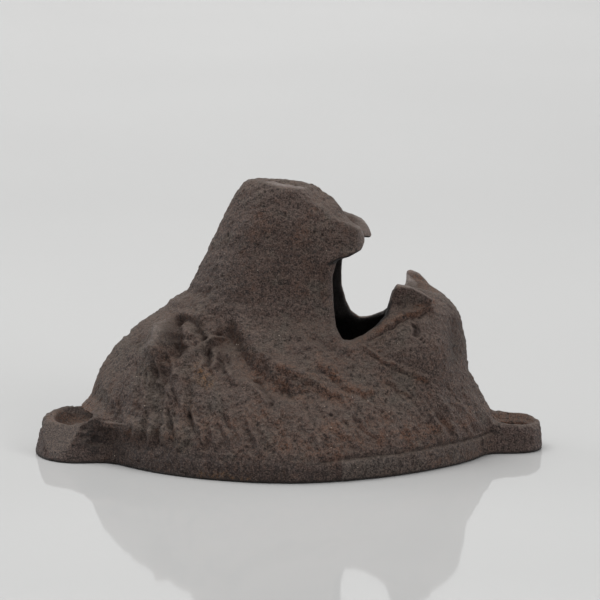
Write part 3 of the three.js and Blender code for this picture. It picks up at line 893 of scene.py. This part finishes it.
def mesh_object(name, vertices, quads, attributes=None):
    """A smooth-shaded object from millimetre vertices, with one float attribute for each mask."""
    mesh = bpy.data.meshes.new(name)
    mesh.vertices.add(len(vertices))
    mesh.vertices.foreach_set("co", (vertices * MM).astype(np.float32).ravel())
    mesh.loops.add(len(quads) * 4)
    mesh.loops.foreach_set("vertex_index", quads.astype(np.int32).ravel())
    mesh.polygons.add(len(quads))
    mesh.polygons.foreach_set("loop_start", np.arange(0, len(quads) * 4, 4, dtype=np.int32))
    mesh.update(calc_edges=True)
    mesh.validate()
    mesh.polygons.foreach_set("use_smooth", np.ones(len(mesh.polygons), bool))
    for key, values in (attributes or {}).items():
        layer = mesh.attributes.new(key, "FLOAT", "POINT")
        layer.data.foreach_set("value", values.astype(np.float32))
    piece = bpy.data.objects.new(name, mesh)
    bpy.context.scene.collection.objects.link(piece)
    return piece


# ---------------------------------------------------------------- materials

class Nodes:
    """Short names for building a node tree."""

    def __init__(self, name):
        self.material = bpy.data.materials.new(name)
        self.material.use_nodes = True
        self.tree = self.material.node_tree
        self.shader = self.tree.nodes["Principled BSDF"]
        self.position = self.add("ShaderNodeTexCoord").outputs["Object"]

    def fill(self, node, inputs):
        """Gives each input a value, or the output of another node."""
        for key, value in inputs.items():
            if isinstance(value, bpy.types.NodeSocket):
                self.tree.links.new(value, node.inputs[key])
            else:
                node.inputs[key].default_value = value

    def add(self, kind, inputs=None, **settings):
        node = self.tree.nodes.new(kind)
        for key, value in settings.items():
            setattr(node, key, value)
        self.fill(node, inputs or {})
        return node

    def attribute(self, name):
        return self.add("ShaderNodeAttribute", attribute_name=name).outputs["Fac"]

    def noise(self, scale, detail, rough, stretch=None):
        source = self.position
        if stretch:
            source = self.add("ShaderNodeMapping", {"Vector": source, "Scale": stretch}).outputs["Vector"]
        inputs = {"Vector": source, "Scale": scale, "Detail": detail, "Roughness": rough}
        return self.add("ShaderNodeTexNoise", inputs).outputs["Fac"]

    def cells(self, scale):
        """Distance from the middle of the nearest cell."""
        inputs = {"Vector": self.position, "Scale": scale}
        return self.add("ShaderNodeTexVoronoi", inputs, feature="F1").outputs["Distance"]

    def math(self, operation, a, b, clamp=False):
        return self.add("ShaderNodeMath", {0: a, 1: b}, operation=operation, use_clamp=clamp).outputs[0]

    def product(self, a, b):
        return self.math("MULTIPLY", a, b)

    def ramp(self, value, lo, hi, out_lo=0.0, out_hi=1.0):
        inputs = {"Value": value, "From Min": lo, "From Max": hi, "To Min": out_lo, "To Max": out_hi}
        return self.add("ShaderNodeMapRange", inputs, interpolation_type="SMOOTHSTEP").outputs["Result"]

    def mix(self, factor, a, b, blend="MIX"):
        a, b = (c if isinstance(c, bpy.types.NodeSocket) else (*c, 1) for c in (a, b))
        return self.add("ShaderNodeMix", {0: factor, 6: a, 7: b}, data_type="RGBA", blend_type=blend).outputs[2]

    def gray(self, value):
        return self.add("ShaderNodeCombineColor", dict.fromkeys(range(3), value)).outputs[0]

    def axis(self, which):
        return self.add("ShaderNodeSeparateXYZ", {0: self.position}).outputs[which]

    def up(self):
        """How far the surface faces out of the wall."""
        normal = self.add("ShaderNodeNewGeometry").outputs["Normal"]
        return self.add("ShaderNodeSeparateXYZ", {0: normal}).outputs[2]

    def bump(self, height, strength, distance, after=None):
        inputs = {"Height": height, "Strength": strength, "Distance": distance}
        if after:
            inputs["Normal"] = after
        return self.add("ShaderNodeBump", inputs).outputs["Normal"]


IRON_DARK = (0.066, 0.043, 0.035)
IRON_BROWN = (0.085, 0.061, 0.053)
# Blotches over the whole casting: noise scale, detail, roughness, ramp's start and end, strength, colour.
BLOTCHES = (
    (230, 5, 0.65, 0.45, 0.64, 0.55, (0.100, 0.077, 0.068)),
    (95, 3, 0.5, 0.56, 0.70, 0.45, (0.070, 0.062, 0.060)),
    (140, 4, 0.6, 0.52, 0.66, 0.6, (0.088, 0.084, 0.072)),
    (175, 5, 0.7, 0.55, 0.68, 0.5, (0.125, 0.066, 0.045)),
)
PALE_AND_HIGHLIGHT_TINT = (0.100, 0.098, 0.084)
RUST_FILM = (0.102, 0.050, 0.031)
RUST_CRUST = (0.142, 0.070, 0.040)
# What lies over the rust, from the bottom up: mask, strength, colour. Some layers are painted shade and painted
# light, not the iron's colour.
LAYERS = (
    ("wall", 0.45, (0.070, 0.052, 0.050)),
    ("yellow", 0.9, (0.225, 0.120, 0.045)),
    ("flat", 0.75, (0.105, 0.086, 0.076)),
    ("ground", 0.7, (0.094, 0.090, 0.084)),
    ("cast", 0.35, (0.040, 0.031, 0.029)),
    ("stripes", 0.5, (0.030, 0.022, 0.022)),
    ("dark grain", 0.85, (0.018, 0.011, 0.009)),
    ("dark speck", 0.9, (0.010, 0.006, 0.005)),
    ("light speck", 0.5, (0.190, 0.150, 0.130)),
    # Painted shade in creases and recesses.
    ("crevice", 0.75, (0.015, 0.009, 0.007)),
    # Sharp convex edges painted lighter.
    ("rubbed edge", 0.40, (0.165, 0.132, 0.115)),
    ("dark patch", 0.92, (0.010, 0.007, 0.007)),
    # Painted shade in the hollows and between the teeth.
    ("painted_shade", 0.72, (0.022, 0.011, 0.007)),
    # Painted light: surfaces facing up, towards the overhead light, painted lighter.
    ("dust", 0.35, (0.168, 0.143, 0.122)),
    ("pinhole", 0.65, (0.006, 0.004, 0.004)),
    # Painted glints: tiny bright specks standing in for sparkles of light.
    ("bright grain", 0.85, (0.42, 0.38, 0.33)),
    # Bare metal on the far tooth's facet, with painted highlights on edges and the brow ball.
    ("bare metal", 0.8, (0.32, 0.30, 0.29)),
    # Painted shade inside the hollow casting and the mouth.
    ("inside", 0.9, (0.004, 0.003, 0.003)),
    ("wall shadow", 0.9, (0.006, 0.004, 0.003)),
)
FINAL_BALANCE = (1.03, 0.935, 0.885)


def rusted(m, color, height):
    """Scattered rust, more of it low down and in wide hollows, and the rust strokes."""
    low = m.ramp(height, 0.036, 0.004)
    scatter = m.ramp(m.noise(190, 7, 0.75), 0.48, 0.64)
    rust = m.product(scatter, m.math("ADD", m.product(low, 0.35), 0.16))
    rust = m.math("ADD", rust, m.product(m.ramp(m.attribute("hollow"), 0.02, 0.5), 0.2))
    rust = m.product(rust, m.math("SUBTRACT", 1.0, m.product(m.attribute("wall"), 0.75)))
    ragged = m.ramp(m.noise(600, 5, 0.75), 0.40, 0.60, 0.2, 1.0)
    mask = m.attribute("rust")
    color = m.mix(m.math("MULTIPLY", mask, 0.8, clamp=True), color, RUST_FILM)
    rust = m.math("ADD", rust, m.product(m.product(mask, ragged), 0.55), clamp=True)
    return m.mix(rust, color, RUST_CRUST)


def layer_masks(m, height, fine, streaks):
    """Masks made in the shader; a layer that has none here is an attribute of the mesh."""
    speck = m.noise(2900, 2, 0.6)
    cavity = m.attribute("cavity")
    mottled = m.ramp(m.noise(900, 4, 0.7), 0.40, 0.56, 0.25, 1.0)
    return {
        "yellow": m.product(m.attribute("ochre"), m.ramp(m.noise(800, 4, 0.7), 0.42, 0.58)),
        "stripes": m.product(m.attribute("cast"), m.ramp(streaks, 0.46, 0.60)),
        "dark grain": m.ramp(fine, 0.52, 0.40),
        "dark speck": m.ramp(speck, 0.46, 0.36),
        "light speck": m.ramp(speck, 0.52, 0.66),
        # Painted shade in creases and recesses, from the mesh's cavity measure.
        "crevice": m.ramp(cavity, 0.05, 0.55),
        # Sharp convex edges painted lighter.
        "rubbed edge": m.ramp(m.product(cavity, -1.0), 0.10, 0.55),
        "dark patch": m.product(m.attribute("patch"), mottled),
        # Painted light: surfaces facing up, towards the overhead light, painted lighter.
        "dust": m.ramp(m.up(), 0.20, 0.95),
        "pinhole": m.product(m.ramp(m.cells(520), 0.20, 0.06), m.ramp(m.noise(240, 2, 0.5), 0.46, 0.58)),
        # Painted glints: tiny bright specks standing in for sparkles of light.
        "bright grain": m.product(m.ramp(m.cells(420), 0.075, 0.03), m.ramp(m.noise(330, 2, 0.5), 0.48, 0.56)),
        # Bare metal on the far tooth's facet, with painted highlights on edges and the brow ball.
        "bare metal": m.product(m.attribute("wear_and_highlight"), m.ramp(m.noise(700, 4, 0.6), 0.3, 0.55, 0.4, 1.0)),
        "wall shadow": m.ramp(height, 0.0010, 0.0002),
    }


def iron_material():
    m = Nodes("old_cast_iron")
    height = m.axis(2)
    fine = m.noise(1500, 3, 0.65)
    streaks = m.noise(1100, 2, 0.5, stretch=(1.0, 1.0, 0.06))
    color = m.mix(m.ramp(m.noise(60, 4, 0.6), 0.38, 0.62), IRON_DARK, IRON_BROWN)
    for scale, detail, rough, start, end, strength, tint in BLOTCHES:
        color = m.mix(m.ramp(m.noise(scale, detail, rough), start, end, 0, strength), color, tint)
    # Pale grey-green on raised places, partly painted highlight.
    color = m.mix(m.product(m.attribute("pale"), 0.6), color, PALE_AND_HIGHLIGHT_TINT)
    color = rusted(m, color, height)
    masks = layer_masks(m, height, fine, streaks)
    for name, strength, tint in LAYERS:
        mask = masks[name] if name in masks else m.attribute(name)
        color = m.mix(m.product(mask, strength), color, tint)
    color = m.mix(1.0, color, FINAL_BALANCE, "MULTIPLY")

    grit = m.math("ADD", m.noise(1300, 5, 0.8), m.product(m.noise(3000, 2, 0.7), 0.7))
    normal = m.bump(grit, 1.0, 0.0007)
    normal = m.bump(m.product(streaks, m.attribute("band")), 0.5, 0.0002, after=normal)
    normal = m.bump(m.product(masks["pinhole"], -1.0), 0.8, 0.0004, after=normal)
    rough = m.ramp(fine, 0.3, 0.7, 0.46, 0.72)
    m.fill(m.shader, {
        "Base Color": color, "Roughness": rough, "Metallic": 0.25, "Specular IOR Level": 0.45, "Normal": normal})
    return m.material


def steel_material():
    m = Nodes("aged_steel")
    color = m.mix(m.ramp(m.noise(400, 4, 0.6), 0.35, 0.7), (0.30, 0.28, 0.26), (0.14, 0.12, 0.11))
    color = m.mix(m.ramp(m.noise(900, 4, 0.6), 0.55, 0.75, 0, 0.8), color, (0.16, 0.075, 0.04))
    rough = m.ramp(m.noise(1300, 3, 0.6), 0.3, 0.7, 0.38, 0.62)
    normal = m.bump(m.noise(1500, 4, 0.6), 0.25, 0.0002)
    m.fill(m.shader, {"Base Color": color, "Roughness": rough, "Metallic": 0.9, "Normal": normal})
    return m.material


head_v, head_q, head_attributes = make_head()
head = mesh_object("head_casting_sculpted", head_v, head_q, head_attributes)
head.data.materials.append(iron_material())
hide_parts("head_casting")
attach(head, "root")

steel = steel_material()
for node, low, high, shank in (
    ("crown_screw", CROWN_LOW, CROWN_HIGH, 2.05),
    ("chin_screw", CHIN_LOW, CHIN_HIGH, 1.7),
):
    screw = mesh_object(node + "_turned", *make_screw(low, high, shank))
    screw.data.materials.append(steel)
    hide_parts(node)
    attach(screw, "root")


# ---------------------------------------------------------------- floor, light and camera

TABLE_FRONT, TABLE_BACK, TABLE_SIDE = -1.6, 1.6, 4.0
SWEEP_RADIUS = 1.2
SWEEP_STEPS = 12
BACKDROP_TOP = 3.4


def tabletop():
    """A pale glossy table that curves up into the backdrop far behind."""
    bm = bmesh.new()
    profile = [(TABLE_FRONT, 0.0), (TABLE_BACK, 0.0)]
    for i in range(1, SWEEP_STEPS + 1):
        angle = math.pi / 2 * i / SWEEP_STEPS
        profile.append((TABLE_BACK + SWEEP_RADIUS * math.sin(angle), SWEEP_RADIUS - SWEEP_RADIUS * math.cos(angle)))
    profile.append((TABLE_BACK + SWEEP_RADIUS, BACKDROP_TOP))
    columns = [[bm.verts.new((x, y, z)) for y, z in profile] for x in (-TABLE_SIDE, TABLE_SIDE)]
    for a, b, c, d in zip(columns[0], columns[0][1:], columns[1][1:], columns[1]):
        bm.faces.new((a, d, c, b))
    mesh = bpy.data.meshes.new("tabletop")
    bm.normal_update()
    bm.to_mesh(mesh)
    bm.free()
    for face in mesh.polygons:
        face.use_smooth = True
    table = bpy.data.objects.new("tabletop", mesh)
    bpy.context.scene.collection.objects.link(table)
    m = Nodes("glossy_white_table")
    tone = m.mix(m.ramp(m.noise(3.0, 2, 0.5), 0.3, 0.7), (0.480, 0.480, 0.476), (0.500, 0.500, 0.496))
    shade = m.ramp(m.axis(1), -0.26, 0.02, 0.88, 1.0)
    tone = m.mix(1.0, tone, m.gray(shade), "MULTIPLY")
    m.fill(m.shader, {"Base Color": tone, "Roughness": 0.05, "IOR": 1.45})
    mesh.materials.append(m.material)


# Softboxes: name, place, target, side in metres, watts.
SOFTBOXES = (
    ("overhead_softbox", (-0.35, 0.15, 1.3), (0, 0, 0), 1.1, 15.0),
    ("front_softbox", (1.1, -1.2, 0.7), (0, 0, 0.03), 0.9, 15.0),
    ("left_softbox", (-1.1, 0.55, 0.42), (0, 0, 0.03), 0.6, 4.5),
    ("right_softbox", (1.15, 0.65, 0.5), (0, 0, 0.03), 0.6, 3.5),
    ("backdrop_softbox", (0.0, 1.2, 1.5), (0, 2.8, 0.6), 1.6, 24.0),
)
TENT_STRENGTH = 0.48


def area_light(name, location, target, size, power):
    light = bpy.data.lights.new(name, "AREA")
    light.shape = "RECTANGLE"
    light.size = size
    light.size_y = size
    light.energy = power
    lamp = bpy.data.objects.new(name, light)
    lamp.location = location
    direction = Vector(target) - Vector(location)
    lamp.rotation_euler = direction.to_track_quat("-Z", "Y").to_euler()
    bpy.context.scene.collection.objects.link(lamp)


def studio():
    """A white light tent with softboxes around it."""
    world = bpy.data.worlds.new("light_tent")
    world.use_nodes = True
    background = world.node_tree.nodes["Background"]
    background.inputs["Color"].default_value = (1.0, 1.0, 1.0, 1)
    background.inputs["Strength"].default_value = TENT_STRENGTH
    bpy.context.scene.world = world
    for softbox in SOFTBOXES:
        area_light(*softbox)


CAMERA_AZIMUTH = math.radians(-3.0)
CAMERA_DISTANCE = 0.8
CAMERA_HEIGHT = 0.182
CAMERA_TARGET = Vector((0.00275, 0.0, 0.0345))
SENSOR_WIDTH = 36.0
FOCAL_LENGTH = 216.2688


def camera():
    """Looks a little down on the head from its left cheek, through a long lens."""
    target = CAMERA_TARGET
    place = Vector((
        target.x + math.sin(CAMERA_AZIMUTH) * CAMERA_DISTANCE,
        -math.cos(CAMERA_AZIMUTH) * CAMERA_DISTANCE,
        CAMERA_HEIGHT,
    ))
    data = bpy.data.cameras.new("camera")
    data.sensor_width = SENSOR_WIDTH
    data.lens = FOCAL_LENGTH
    data.clip_start = 0.05
    data.clip_end = 20.0
    view = bpy.data.objects.new("camera", data)
    view.location = place
    view.rotation_euler = (target - place).to_track_quat("-Z", "Y").to_euler()
    bpy.context.scene.collection.objects.link(view)
    bpy.context.scene.camera = view


tabletop()
studio()
camera()
bpy.context.scene.view_settings.view_transform = "Standard"
